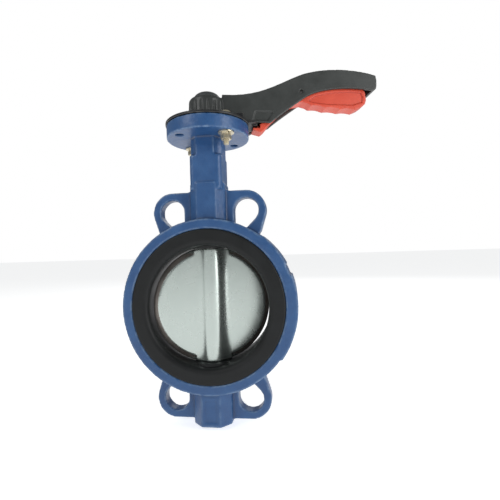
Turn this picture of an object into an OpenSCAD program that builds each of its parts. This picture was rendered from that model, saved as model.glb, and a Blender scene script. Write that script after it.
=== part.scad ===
// Wafer butterfly valve with a lever handle that locks in a notched plate.
// The pipe runs along Y and the stem along +Z. The origin is where the two axes cross,
// in the middle of the disc. The valve stands part open, in its second notch.

/* [Disc and bore] */
// Radius of the round disc's sealing edge
disc_r = 63.5; // [52:0.5:78]
// Thickness of the disc's web
disc_t = 9; // [7:0.5:12]
// Radius of the stem boss that runs down the disc
boss_r = 13; // [12.5:0.5:15]
// Gap between the disc's edge and the rubber liner
edge_gap = 0.35; // [0.3:0.05:0.6]
// How far the disc stands open at rest, in degrees
open_deg = 15; // [0:15:90]

/* [Rubber liner] */
// Length of the valve over the liner's two faces
face_to_face = 56; // [46:1:70]
// How far each liner face stands out of the casting
liner_proud = 1; // [0.5:0.1:1.5]
// Thickness of the rubber in the bore
liner_t = 7.4; // [6:0.2:10]
// Width of the liner's flat face, outside the bore's rubber
liner_lip_w = 9.9; // [7:0.1:12]
// Thickness of the liner's face flange
liner_flange_t = 4; // [3:0.5:6]

/* [Casting] */
// Width of the iron that shows round the liner's face
ring_wall = 10.6; // [8:0.1:16]
// Height of the top flange's upper face above the ring
neck_h = 103.15; // [85:0.05:140]
// Radius of the top flange
flange_r = 45; // [37.5:0.5:55]
// Thickness of the top flange
flange_t = 14.4; // [10:0.1:18]
// Half width of the neck, across the pipe
neck_w = 17.2; // [16:0.1:20]
// Half depth of the neck, along the pipe
neck_d = 19; // [17:0.1:22]
// Depth of the bottom boss below the ring
foot_h = 34.55; // [28:0.05:60]
// Height of the raised marking pad on the ring's side
pad_h = 1.9; // [0.5:0.1:3]

/* [Lugs] */
// Distance from the ring's rim to the round part of a lug hole
lug_rise = 3.95; // [2:0.05:12]
// Angle of each lug hole from the stem, in degrees
lug_deg = 22; // [20:0.5:26]
// Radius of each lug hole, which a flange bolt passes through
lug_hole_r = 13.5; // [10:0.5:15]
// Width of the iron round a lug hole
lug_wall = 8.2; // [6:0.2:10]
// Thickness of a lug along the pipe
lug_t = 14; // [10:1:20]

/* [Stem] */
// Radius of the stem
stem_r = 9.45; // [7.8:0.05:11.4]
// Side of the square drives at the stem's ends
square_w = 14; // [12:0.5:14]
// Clearance round a turning stem
stem_fit = 0.05; // [0.03:0.01:0.09]
// Wall of the stem's bushes
bush_wall = 3.5; // [2.5:0.1:4.5]
// Length of each bush beside the bore
bush_len = 24; // [16:1:28]

/* [Top fixing] */
// Distance from the top flange's edge in to the centres of its four holes
top_hole_in = 10; // [9:0.5:12]
// Radius of the holes in the top flange
top_hole_r = 4.5; // [4.2:0.1:4.8]
// Radius of the two bolts' shanks
bolt_r = 3; // [2.5:0.5:4]
// Length of the two bolts under their heads
bolt_len = 30; // [28:1:40]
// Width of the bolts' heads and nuts across flats
bolt_af = 10; // [9:1:14]
// Radius of the washers
washer_r = 8.4; // [7:0.1:9]

/* [Notch plate] */
// Thickness of the notch plate
plate_t = 2.5; // [2:0.5:4]
// How far the plate stands out past the flange
plate_over = 1; // [0:0.5:2]
// How far the plate's notched edge stands out past the flange
notch_over = 10; // [9:0.5:12]
// Angle from one notch to the next, in degrees
notch_pitch = 15; // [15:15:45]
// Width of a notch
notch_w = 5.4; // [4.8:0.1:7]
// Depth of a notch
notch_depth = 5; // [4:0.5:6]

/* [Handle] */
// Distance from the stem to the handle's tip
handle_len = 194; // [160:1:240]
// Width of the handle's arm
handle_w = 24; // [20:1:30]
// Wall of the handle's channel
handle_wall = 3.2; // [2.5:0.1:4]
// Radius of the handle's fluted hub
hub_r = 21.2; // [20.2:0.1:25.5]
// Height of the hub
hub_h = 27.5; // [26:0.1:34]
// Gap between the handle and the plate under it
handle_gap = 0.3; // [0.2:0.1:1]
// Radius of the domed cap on the hub
cap_r = 14.8; // [14:0.1:15]

/* [Trigger] */
// Distance from the stem to the trigger's pin
pin_s = 105; // [100:1:112]
// Radius of the trigger's pin
pin_r = 2.25; // [2:0.05:3]
// Gap at each side of the trigger, inside the channel
trigger_gap = 0.6; // [0.4:0.1:1.5]
// Radius of the spring over the trigger
spring_r = 4.5; // [4:0.1:5]

/* [Hidden] */
$fn = 96;
eps = 0.01;

// Clearances that several pieces share
press_gap = 0.02;
loose_gap = 0.1;
rubber_gap = 0.3;

// Bore, liner and ring
body_w = face_to_face - 2 * liner_proud;
bore_r = disc_r + edge_gap;
body_bore_r = bore_r + liner_t;
liner_r = body_bore_r + liner_lip_w;
ring_r = liner_r + ring_wall;
flange_z = ring_r + neck_h;
foot_z = ring_r + foot_h;
recess_y = face_to_face / 2 - liner_flange_t;
key_h = 2.8;
key_w = 14;
band_set_back = 0.4;

// The disc's two ends are flat where the stems enter, and bear on flats in the liner
hub_flat_z = disc_r - 3;
liner_flat_z = hub_flat_z + rubber_gap;
hub_flat_r = sqrt(disc_r * disc_r - hub_flat_z * hub_flat_z) + 1.2;
land_w = 6.5;
drive_len = 26;
drive_z = hub_flat_z - 14.5;
lower_socket_len = 20;

// Stem, bushes and seals
bush_r = stem_r + bush_wall;
stem_hole_r = bush_r + press_gap;
bush_z = body_bore_r + 5;
seal_d = 1.7;
seal_groove_r = stem_r + seal_d + 0.45;
recess_r = bush_r + 4;
recess_depth = 6;
recess_z = flange_z - recess_depth;
upper_bush_len = 38.9;
seal_z = [recess_z - 28, recess_z - 20];
seal_groove_w = 2.4;
thrust_t = 1.5;
clip_t = 1.5;
clip_z = recess_z + thrust_t + loose_gap;
clip_groove_r = stem_r - 0.85;
clip_r = stem_r + 3;

// Bottom plug
plug_r = bush_r + 1.1;
plug_len = 11;
gasket_t = 1.5;
plug_socket_af = 14;
plug_socket_len = 7;
lower_stem_z = foot_z - plug_len - gasket_t - 9;

// Neck, boss and lugs
neck_foot_z = flange_z - 64;
top_pcr = flange_r - top_hole_in;
pocket_r = top_pcr - 19;
pocket_len = 20;
lug_pcr = ring_r + lug_hole_r + lug_rise;
panel_w = 15;
panel_h = 24;
lug_x = lug_pcr * sin(lug_deg);
lug_z = lug_pcr * cos(lug_deg);
lug_r = lug_hole_r + lug_wall;

// Top fixing and notch plate
plate_z = flange_z + plate_t;
plate_r = flange_r + plate_over;
notch_edge_r = flange_r + notch_over;
head_h = 4.2;
washer_t = 1.6;
spring_washer_t = 1.6;
nut_h = 5;
bolt_angles = [135, 315];
plate_hole_r = stem_r + 2.6;
tab_t = 2.5;
tab_w = 8;
tab_h = 6;
tab_s = flange_r - 11;
stop_gap = 0.4;

// Handle and trigger, drawn in the handle's own plane: s runs out from the stem
handle_z = plate_z + handle_gap;
hub_top_z = handle_z + hub_h;
half_w = handle_w / 2;
channel_w = handle_w - 2 * handle_wall;
roof_t = 4;
arm_lift = 0.5;
counterbore_r = cap_r - 1.8;
counterbore_depth = 6;
screw_floor_z = hub_top_z - counterbore_depth;
screw_r = 4;
screw_len = 22;
screw_af = 13;
screw_head_h = 5.3;
shoulder_r = 4.5;
hub_draft = 1;
flute_r = 1.8;
arm_z = hub_top_z + 2.4;
arm_foot_len = pin_s - 36;
pin_z = plate_z + 36.6;
pin_fit = 0.05;
trigger_w = channel_w - 2 * trigger_gap;
tooth_w = notch_w - 1;
tip_s = handle_len;
paddle_len = handle_len - pin_s;
paddle_s = pin_s + 0.881 * paddle_len;
spring_s = pin_s + 0.337 * paddle_len;
block_s = flange_r + 4.4;
block_z = flange_z - 1.4;
rim_s = notch_edge_r + 2.6;
panel_depth = 0.41 * (trigger_w / 2 - spring_r - 0.8);
spring_foot_z = plate_z + 33.8;
spring_roof_z = handle_z + 57.1;
wire_r = 0.55;

// A point on a cubic curve from a to d, pulled towards b and c
function curve_at(a, b, c, d, t) =
    pow(1 - t, 3) * a + 3 * t * pow(1 - t, 2) * b + 3 * t * t * (1 - t) * c + pow(t, 3) * d;
function curve(a, b, c, d, steps) = [for (i = [0:steps]) curve_at(a, b, c, d, i / steps)];
function arc(cx, cy, r, from, to, steps) =
    [for (i = [0:steps]) let (a = from + (to - from) * i / steps) [cx + r * cos(a), cy + r * sin(a)]];

// Turns what is drawn along Z so that it runs along the pipe
module along_pipe() {
    rotate([90, 0, 0]) children();
}

// Places what is drawn in the (s, z) plane in the handle's own plane, and centres its width
module in_handle_plane(width) {
    rotate([0, 0, open_deg]) rotate([90, 0, 0])
        linear_extrude(height = width, center = true) children();
}

// A ring along Z, from z0 up to z1
module tube(outer_r, inner_r, z0, z1) {
    difference() {
        translate([0, 0, z0]) cylinder(r = outer_r, h = z1 - z0);
        translate([0, 0, z0 - 1]) cylinder(r = inner_r, h = z1 - z0 + 2);
    }
}

module hexagon(across_flats, height) {
    cylinder(r = across_flats / sqrt(3), h = height, $fn = 6);
}

// A rectangle with its four corners cut off
module chamfered_rect(half_x, half_y, cut) {
    polygon([
        [half_x - cut, -half_y], [half_x, -half_y + cut], [half_x, half_y - cut],
        [half_x - cut, half_y], [cut - half_x, half_y], [-half_x, half_y - cut],
        [-half_x, cut - half_y], [cut - half_x, -half_y]
    ]);
}

module at_top_bolts(angles) {
    for (a = angles) rotate([0, 0, a]) translate([top_pcr, 0, 0]) children();
}

// Outline of one upper lug, with its fillet against the neck
module lug_outline() {
    top = lug_z + lug_r;
    fillet = 7;
    translate([lug_x, lug_z]) circle(r = lug_r);
    polygon([
        [0, top], [lug_x, top], [lug_x + lug_r * cos(20), lug_z - lug_r * sin(20)],
        [lug_x + lug_r * 0.72, lug_z - lug_r * 1.05], [lug_x + lug_r * 0.45, lug_z - lug_r * 1.45],
        [0, lug_z - lug_r * 1.45]
    ]);
    difference() {
        translate([neck_w - 1, top - 1]) square([fillet + 1, fillet + 1]);
        translate([neck_w + fillet, top + fillet]) circle(r = fillet);
    }
}

// The hole through a lug: round at the outside, and open down to the ring
module lug_hole_outline() {
    r = lug_hole_r;
    slope = r * cos(45);
    depth = 2 * r;
    translate([lug_x, lug_z]) circle(r = r);
    polygon([
        [lug_x - r, lug_z], [lug_x - r, lug_z - depth], [lug_x + 2 * slope - depth, lug_z - depth],
        [lug_x + slope, lug_z - slope], [lug_x, lug_z]
    ]);
}

// Both upper lugs, or both lower ones
module lug_pair(lower) {
    mirror([0, 0, lower ? 1 : 0]) for (side = [0, 1]) mirror([side, 0, 0]) along_pipe()
        linear_extrude(height = lug_t, center = true) difference() {
            lug_outline();
            lug_hole_outline();
        }
}

// A raised band round the ring, from one angle to another
module ring_band(from, to, rise) {
    band_w = body_w - 2 * band_set_back;
    rotate([90, 0, 0]) rotate([0, 0, from]) translate([0, 0, -band_w / 2])
        rotate_extrude(angle = to - from)
            translate([ring_r - 4, 0]) square([4 + rise, band_w]);
}

module ring() {
    difference() {
        union() {
            along_pipe() cylinder(r = ring_r, h = body_w, center = true, $fn = 180);
            ring_band(27, 52, pad_h * 0.7);
            ring_band(-36, 19.5, pad_h);
        }
        along_pipe() cylinder(r = body_bore_r, h = body_w + 2, center = true);
        along_pipe() cylinder(r = body_bore_r + key_h, h = key_w, center = true);
        for (side = [-1, 1]) translate([0, side * (recess_y + 5), 0])
            along_pipe() cylinder(r = liner_r, h = 10, center = true);
    }
}

// Neck, flange, bottom boss and lugs, kept clear of the bore
module limbs() {
    difference() {
        union() {
            translate([0, 0, neck_foot_z - 7]) linear_extrude(height = flange_z - neck_foot_z - 5)
                chamfered_rect(neck_w, neck_d, 2.8);
            translate([0, 0, bush_z]) linear_extrude(height = neck_foot_z - bush_z)
                chamfered_rect(neck_w + 1.8, neck_d + 1, 8.6);
            translate([0, 0, flange_z - flange_t]) cylinder(r = flange_r, h = flange_t);
            translate([0, 0, -foot_z]) linear_extrude(height = foot_z - bush_z)
                chamfered_rect(neck_w + 3.4, neck_d + 3, 10.4);
            lug_pair(false);
            lug_pair(true);
        }
        along_pipe() cylinder(r = ring_r - 2, h = body_w + 20, center = true);
    }
}

module valve_body() {
    color("steelblue") difference() {
        union() {
            ring();
            limbs();
        }
        // Bore for the stems and their bushes, right through the ring
        translate([0, 0, body_bore_r - 5]) cylinder(r = stem_hole_r, h = flange_z);
        translate([0, 0, -foot_z + plug_len + gasket_t]) cylinder(r = stem_hole_r, h = foot_z - body_bore_r);
        translate([0, 0, -foot_z - 1]) cylinder(r = plug_r + stem_fit, h = plug_len + gasket_t + 1);
        translate([0, 0, recess_z]) cylinder(r = recess_r, h = recess_depth + 1);
        // Holes in the top flange, and hollows that clear the nuts under it
        at_top_bolts([45, 135, 225, 315]) translate([0, 0, flange_z - flange_t - pocket_len]) {
            cylinder(r = pocket_r, h = pocket_len);
            cylinder(r = top_hole_r, h = flange_t + pocket_len + 1);
        }
        // Blank panel sunk into the front of the bottom boss
        translate([-panel_w / 2, -neck_d - 4, -foot_z + 4.5]) cube([panel_w, 1.8, panel_h]);
    }
}

// Half section of the liner: bore, rounded lip, flat face and the key that grips the ring
function liner_half(side) = concat(
    arc(bore_r + 5.5, side * (face_to_face / 2 - 5.5), 5.5, 180, 180 - side * 90, 6),
    [[liner_r - 1, side * face_to_face / 2], [liner_r, side * (face_to_face / 2 - 1)]],
    [[liner_r, side * recess_y], [body_bore_r, side * recess_y]],
    [[body_bore_r, side * key_w / 2], [body_bore_r + key_h, side * key_w / 2]]
);

module seat_liner() {
    back = liner_half(-1);
    color([0.13, 0.14, 0.15]) difference() {
        union() {
            along_pipe() rotate_extrude($fn = 180)
                polygon(concat(liner_half(1), [for (i = [len(back) - 1:-1:0]) back[i]]));
            // Thick flats inside the bore, which the disc's two ends bear on
            intersection() {
                along_pipe() cylinder(r = bore_r + 1, h = face_to_face - 12, center = true);
                union() for (side = [0, 1]) mirror([0, 0, side])
                    translate([0, 0, liner_flat_z]) cylinder(r = hub_flat_r, h = 10);
            }
        }
        cylinder(r = stem_r + rubber_gap, h = 3 * disc_r, center = true);
    }
}

// Half section of the disc: a web, a sloping land and a rounded sealing edge
function disc_section() = concat(
    [[0, -disc_t / 2], [disc_r - land_w, -disc_t / 2]],
    arc(disc_r - 2.4, 0, 2.4, -80, 80, 6),
    [[disc_r - land_w, disc_t / 2], [0, disc_t / 2]]
);

// Outline of the boss that holds the stems, with hollow flanks down to the web
module boss_outline() {
    web = disc_t / 2;
    flank_x = boss_r + 7.2;
    fillet = (pow(flank_x, 2) + pow(web, 2) - pow(boss_r, 2)) / (2 * (boss_r - web));
    meet_y = boss_r * (web + fillet) / (boss_r + fillet) - 0.3;
    circle(r = boss_r);
    for (x = [0, 1]) for (y = [0, 1]) mirror([x, 0]) mirror([0, y]) difference() {
        square([flank_x - 0.6, meet_y]);
        translate([flank_x, web + fillet]) circle(r = fillet);
    }
}

module disc() {
    color([0.72, 0.76, 0.73]) rotate([0, 0, open_deg]) difference() {
        intersection() {
            union() {
                along_pipe() rotate_extrude($fn = 180) polygon(disc_section());
                intersection() {
                    linear_extrude(height = 2 * hub_flat_z, center = true) boss_outline();
                    along_pipe() cylinder(r = disc_r - 1, h = 4 * boss_r, center = true);
                }
            }
            cube([3 * disc_r, 3 * disc_r, 2 * hub_flat_z], center = true);
        }
        translate([0, 0, drive_z]) cylinder(r = stem_r + stem_fit, h = hub_flat_z);
        translate([0, 0, drive_z - drive_len / 2]) square_drive(square_w + 2 * stem_fit, drive_len + eps);
        translate([0, 0, -hub_flat_z - 1]) cylinder(r = stem_r + stem_fit, h = lower_socket_len + 1.5);
    }
}

// A square bar with its corners turned down to the stem's own radius
module square_drive(side, length) {
    intersection() {
        cube([side, side, length], center = true);
        cylinder(r = stem_r - 0.05 + (side - square_w) / 2, h = length + 1, center = true);
    }
}

module upper_stem() {
    top_z = screw_floor_z - 1;
    color("silver") rotate([0, 0, open_deg]) difference() {
        union() {
            translate([0, 0, drive_z - drive_len / 2 + 0.5]) square_drive(square_w, drive_len - 1);
            translate([0, 0, drive_z]) cylinder(r = stem_r, h = plate_z - drive_z);
            translate([0, 0, (plate_z + top_z) / 2]) square_drive(square_w, top_z - plate_z);
        }
        tube(stem_r + 1, clip_groove_r, clip_z - loose_gap / 2, clip_z + clip_t + loose_gap / 2);
        translate([0, 0, top_z - screw_len]) cylinder(r = screw_r + stem_fit, h = screw_len + 1);
    }
}

module lower_stem() {
    color("silver") rotate([0, 0, open_deg])
        translate([0, 0, -lower_stem_z]) cylinder(r = stem_r, h = lower_stem_z - hub_flat_z + lower_socket_len);
}

module upper_bush() {
    color("wheat") difference() {
        tube(bush_r, stem_r + stem_fit, recess_z - upper_bush_len, recess_z);
        for (z = seal_z) translate([0, 0, z]) cylinder(r = seal_groove_r, h = seal_groove_w);
    }
}

module middle_bush() {
    color("wheat") tube(bush_r, stem_r + stem_fit, bush_z, bush_z + bush_len);
}

module lower_bush() {
    color("wheat") difference() {
        tube(bush_r, stem_r + stem_fit, -bush_z - bush_len, -bush_z);
        translate([0, 0, -bush_z - bush_len / 2]) cylinder(r = seal_groove_r, h = seal_groove_w);
    }
}

// An O-ring round the stem, centred in a groove that starts at z
module o_ring(z) {
    translate([0, 0, z + seal_groove_w / 2]) rotate_extrude()
        translate([seal_groove_r - seal_d / 2 - loose_gap, 0]) circle(r = seal_d / 2, $fn = 32);
}

module stem_o_rings() {
    color([0.1, 0.1, 0.1]) for (z = seal_z) o_ring(z);
}

module lower_o_ring() {
    color([0.1, 0.1, 0.1]) o_ring(-bush_z - bush_len / 2);
}

module thrust_washer() {
    color("goldenrod") tube(recess_r - loose_gap, stem_r + loose_gap, recess_z, recess_z + thrust_t);
}

// An open ring that snaps into the stem's groove and keeps the stem in the neck
module stem_circlip() {
    color("dimgray") rotate([0, 0, open_deg]) difference() {
        tube(clip_r, clip_groove_r + stem_fit, clip_z, clip_z + clip_t);
        translate([0, -4, clip_z - 1]) cube([clip_r + 1, 8, clip_t + 2]);
    }
}

module bottom_plug() {
    color("silver") translate([0, 0, -foot_z]) difference() {
        cylinder(r = plug_r, h = plug_len);
        translate([0, 0, -1]) hexagon(plug_socket_af, plug_socket_len + 1);
    }
}

module plug_gasket() {
    color("firebrick") tube(plug_r - loose_gap, stem_r, plug_len - foot_z, plug_len + gasket_t - foot_z);
}

// A plate that lies on the flange. Its rim carries the notches for the trigger's tooth.
module notch_plate() {
    rim_end = 9;
    color([0.2, 0.2, 0.2]) {
        difference() {
            translate([0, 0, flange_z]) cylinder(r = notch_edge_r, h = plate_t);
            // The rest of the rim is cut back to the flange's own size
            translate([0, 0, flange_z - 1]) rotate([0, 0, 90 + rim_end])
                rotate_extrude(angle = 270 - 2 * rim_end)
                    translate([plate_r, 0]) square([notch_edge_r, plate_t + 2]);
            translate([0, 0, flange_z - 1]) cylinder(r = plate_hole_r, h = plate_t + 2);
            at_top_bolts([45, 225]) translate([0, 0, flange_z - 1])
                cylinder(r = top_hole_r, h = plate_t + 2);
            at_top_bolts(bolt_angles) translate([0, 0, flange_z - 1])
                cylinder(r = bolt_r + 0.3, h = plate_t + 2);
            for (a = [0:notch_pitch:90]) rotate([0, 0, a])
                translate([notch_edge_r - notch_depth, -notch_w / 2, flange_z - 1])
                    cube([notch_depth + 5, notch_w, plate_t + 2]);
        }
        // Tabs folded up, which stop the handle when shut and when fully open
        translate([tab_s, -half_w - stop_gap - tab_t, plate_z - 1]) cube([tab_w, tab_t, tab_h + 1]);
        translate([-half_w - stop_gap - tab_t, tab_s, plate_z - 1]) cube([tab_t, tab_w, tab_h + 1]);
    }
}

module plate_bolts() {
    color("khaki") at_top_bolts(bolt_angles) {
        translate([0, 0, plate_z - bolt_len]) cylinder(r = bolt_r, h = bolt_len + 1);
        translate([0, 0, plate_z]) hexagon(bolt_af, head_h);
    }
}

module bolt_washers() {
    color("khaki") at_top_bolts(bolt_angles)
        tube(washer_r, bolt_r + loose_gap, flange_z - flange_t - washer_t, flange_z - flange_t);
}

// Split rings that keep the nuts tight
module spring_washers() {
    top_z = flange_z - flange_t - washer_t;
    color("khaki") at_top_bolts(bolt_angles) difference() {
        tube(bolt_af / 2, bolt_r + loose_gap, top_z - spring_washer_t, top_z);
        translate([0, -0.6, top_z - spring_washer_t - 1]) cube([washer_r, 1.2, spring_washer_t + 2]);
    }
}

module plate_nuts() {
    top_z = flange_z - flange_t - washer_t - spring_washer_t;
    color("khaki") at_top_bolts(bolt_angles) translate([0, 0, top_z - nut_h]) difference() {
        hexagon(bolt_af, nut_h);
        translate([0, 0, -1]) cylinder(r = bolt_r + press_gap, h = nut_h + 2);
    }
}

// A distance along the handle, as a share of the way from the pin to the tip
function past_pin(share) = pin_s + share * paddle_len;

// Top edge of the arm, lowered by drop. Lowered by roof_t it is the channel's roof.
function arm_top(drop) = concat(
    curve([cap_r + 1, arm_z - drop], [58, arm_z - 0.9 - drop],
          [pin_s - 30, handle_z + 43 - drop], [pin_s, handle_z + 55.3 - drop], 10),
    curve([pin_s + 3, handle_z + 56.4 - drop], [past_pin(0.315), handle_z + 64.5 - drop],
          [past_pin(0.708), handle_z + 65 - drop], [tip_s, handle_z + 58 - drop], 12)
);

// Lower edge of the arm, from the tip back to the stem
function arm_foot() = concat(
    [[tip_s + 1.2, handle_z + 52], [tip_s + 0.6, handle_z + 43], [tip_s - 2, handle_z + 41.3]],
    curve([tip_s - 5, handle_z + 41.1], [past_pin(0.618), handle_z + 43.6],
          [past_pin(0.27), handle_z + 41.5], [pin_s + 6, handle_z + 31], 10),
    curve([pin_s + 3, handle_z + 29], [pin_s - 8, handle_z + 21.5],
          [pin_s - 22, handle_z + 12], [arm_foot_len, handle_z + arm_lift], 8),
    [[0, handle_z + arm_lift]]
);

// The hub narrows a little upwards and has a round shoulder under the cap
function hub_section() = concat(
    [[0, 0], [hub_r, 0]],
    arc(hub_r - hub_draft - shoulder_r, hub_h - shoulder_r, shoulder_r, 0, 90, 6),
    [[0, hub_h]]
);

// Shallow hollow in each side of the arm, beside the trigger's link
module side_hollows() {
    low_z = handle_z + 2.6;
    high_z = handle_z + 13;
    depth = 1.1;
    for (side = [-1, 1]) rotate([0, 0, open_deg]) translate([0, side * (half_w + 1 - depth / 2), 0])
        rotate([90, 0, 0]) linear_extrude(height = 2 + depth, center = true) polygon([
            [arm_foot_len - 20, low_z], [arm_foot_len - 3, low_z],
            [arm_foot_len + 4, high_z], [arm_foot_len - 17, high_z]
        ]);
}

module handle() {
    channel_s = hub_r + 6;
    color([0.25, 0.26, 0.26]) difference() {
        union() {
            translate([0, 0, handle_z]) rotate_extrude() polygon(hub_section());
            in_handle_plane(handle_w)
                polygon(concat([[0, hub_top_z - 8], [cap_r + 1, hub_top_z - 8]], arm_top(0), arm_foot()));
        }
        // Flutes round the hub
        for (a = [open_deg + 50:20:open_deg + 310]) rotate([0, 0, a])
            translate([hub_r + 0.3, 0, handle_z - 1]) cylinder(r = flute_r, h = hub_h - 5);
        // Channel that holds the trigger, open underneath
        intersection() {
            in_handle_plane(channel_w)
                polygon(concat(arm_top(roof_t), [[tip_s, handle_z - 20], [0, handle_z - 20]]));
            in_handle_plane(channel_w + 2) translate([channel_s, handle_z - 30])
                square([tip_s - channel_s - 4, 150]);
        }
        side_hollows();
        // Square bore on the stem, and the hollow for the screw's head under the cap
        rotate([0, 0, open_deg]) translate([0, 0, handle_z - 1])
            linear_extrude(height = hub_h) square(square_w + 2 * stem_fit, center = true);
        translate([0, 0, screw_floor_z]) cylinder(r = counterbore_r, h = hub_h);
        rotate([0, 0, open_deg]) translate([pin_s, 0, pin_z]) along_pipe()
            cylinder(r = pin_r + pin_fit, h = handle_w + 2, center = true);
    }
}

module hub_cap() {
    rim_h = 0.6;
    dome_h = 7.7;
    skirt_h = 3;
    wall = 1.6;
    hollow_z = 3.7;
    color([0.3, 0.31, 0.31]) translate([0, 0, hub_top_z]) difference() {
        union() {
            rotate_extrude() polygon(concat(
                [[0, 0], [cap_r, 0]],
                [for (i = [0:9]) let (a = 10 * i) [cap_r * cos(a), rim_h + dome_h * sin(a)]]
            ));
            translate([0, 0, -skirt_h]) cylinder(r = counterbore_r - press_gap, h = skirt_h + eps);
        }
        translate([0, 0, -skirt_h - 1]) cylinder(r = counterbore_r - wall, h = skirt_h + 1 + hollow_z);
    }
}

module handle_screw() {
    color("silver") rotate([0, 0, open_deg]) translate([0, 0, screw_floor_z + washer_t]) {
        translate([0, 0, -screw_len + 2]) cylinder(r = screw_r, h = screw_len);
        hexagon(screw_af, screw_head_h);
    }
}

module screw_washer() {
    color("silver") tube(counterbore_r - 2.2, screw_r + loose_gap, screw_floor_z, screw_floor_z + washer_t);
}

// A point along the trigger's link, as a share of the way from one distance to the pin
function to_pin(from, share) = from + share * (pin_s - from);

// Lower edge of the trigger: block under the plate, link, three finger hollows, paddle's end
function trigger_low() = concat(
    [[block_s, block_z], [block_s, block_z - 2.5], [block_s + 9.3, block_z - 4.8]],
    [[block_s + 12.8, block_z - 2.2], [to_pin(block_s + 12.8, 0.227), plate_z + 5.1]],
    [[to_pin(block_s + 12.8, 0.498), plate_z + 16.4], [pin_s - 10, plate_z + 24]],
    [[past_pin(0.018), plate_z + 26.8], [past_pin(0.09), plate_z + 25.2]],
    [for (i = [0:24]) let (t = i / 8)
        [past_pin(0.136 + 0.196 * t), plate_z + 22.9 - 2.45 * t + 0.44 * t * t + 1.3 * abs(sin(180 * t))]],
    [[paddle_s - 6.6, plate_z + 22.7], [paddle_s - 1.4, plate_z + 26.4], [paddle_s, plate_z + 31]]
);

// Upper edge of the trigger, from the paddle's end round the pin and back to the block
function trigger_high() = concat(
    arc(paddle_s - 7.8, plate_z + 37.4, 7, 20, 80, 4),
    [[past_pin(0.562), plate_z + 46.4], [past_pin(0.157), plate_z + 43.5]],
    arc(pin_s, pin_z, 7, 70, 130, 4),
    [[pin_s - 14, plate_z + 30.5], [to_pin(rim_s, 0.304), plate_z + 12.6]],
    [[to_pin(rim_s, 0.093), plate_z + 3.4], [rim_s, plate_z + 0.4], [rim_s, block_z]]
);

// Outline of the shallow panel in each side of the paddle
module paddle_panel() {
    polygon([
        [past_pin(0.10), plate_z + 28.4], [past_pin(0.19), plate_z + 34], [past_pin(0.39), plate_z + 38.4],
        [past_pin(0.67), plate_z + 40.4], [paddle_s - 6.4, plate_z + 39.6], [paddle_s - 3.9, plate_z + 35],
        [paddle_s - 4.6, plate_z + 28.2], [past_pin(0.70), plate_z + 24.4], [past_pin(0.36), plate_z + 24.4],
        [past_pin(0.16), plate_z + 26]
    ]);
}

module trigger() {
    tooth_s = notch_edge_r - notch_depth + 1;
    color("tomato") {
        difference() {
            in_handle_plane(trigger_w) polygon(concat(trigger_low(), trigger_high()));
            for (side = [-1, 1]) rotate([0, 0, open_deg])
                translate([0, side * (trigger_w / 2 - panel_depth / 2 + 1), 0]) rotate([90, 0, 0])
                    linear_extrude(height = panel_depth + 2, center = true) paddle_panel();
            rotate([0, 0, open_deg]) {
                translate([pin_s, 0, pin_z]) along_pipe()
                    cylinder(r = pin_r + pin_fit, h = handle_w, center = true);
                translate([spring_s, 0, spring_foot_z]) cylinder(r = spring_r + 0.8, h = 60);
            }
        }
        rotate([0, 0, open_deg]) translate([tooth_s, -tooth_w / 2, block_z - 0.5])
            cube([rim_s - 1 - tooth_s, tooth_w, plate_t + 1.9]);
    }
}

module trigger_pin() {
    color("silver") rotate([0, 0, open_deg]) translate([pin_s, 0, pin_z]) along_pipe()
        cylinder(r = pin_r, h = handle_w - 3, center = true);
}

// A round wire wound into a compression spring: rings of points along a helix
module trigger_spring() {
    turns = 6;
    steps = 16 * turns;
    sides = 6;
    coil_r = spring_r - wire_r;
    foot = spring_foot_z + wire_r + 0.1;
    rise = spring_roof_z - spring_foot_z - 2 * wire_r - 0.2;
    points = [for (i = [0:steps]) for (j = [0:sides - 1])
        let (a = 360 * turns * i / steps, b = 360 * j / sides, r = coil_r + wire_r * cos(b))
            [r * cos(a), r * sin(a), foot + rise * i / steps + wire_r * sin(b)]];
    walls = [for (i = [0:steps - 1]) for (j = [0:sides - 1]) let (k = (j + 1) % sides)
        [i * sides + j, (i + 1) * sides + j, (i + 1) * sides + k, i * sides + k]];
    ends = [[for (j = [0:sides - 1]) j], [for (j = [sides - 1:-1:0]) steps * sides + j]];
    color("silver") rotate([0, 0, open_deg]) translate([spring_s, 0, 0])
        polyhedron(points = points, faces = concat(walls, ends));
}

valve_body();
seat_liner();
disc();
upper_stem();
lower_stem();
upper_bush();
middle_bush();
lower_bush();
stem_o_rings();
lower_o_ring();
thrust_washer();
stem_circlip();
bottom_plug();
plug_gasket();
notch_plate();
plate_bolts();
bolt_washers();
spring_washers();
plate_nuts();
handle();
hub_cap();
handle_screw();
screw_washer();
trigger();
trigger_pin();
trigger_spring();
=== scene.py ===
import math

import bmesh
import bpy
import numpy as np
from mathutils import Matrix, Vector


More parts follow.
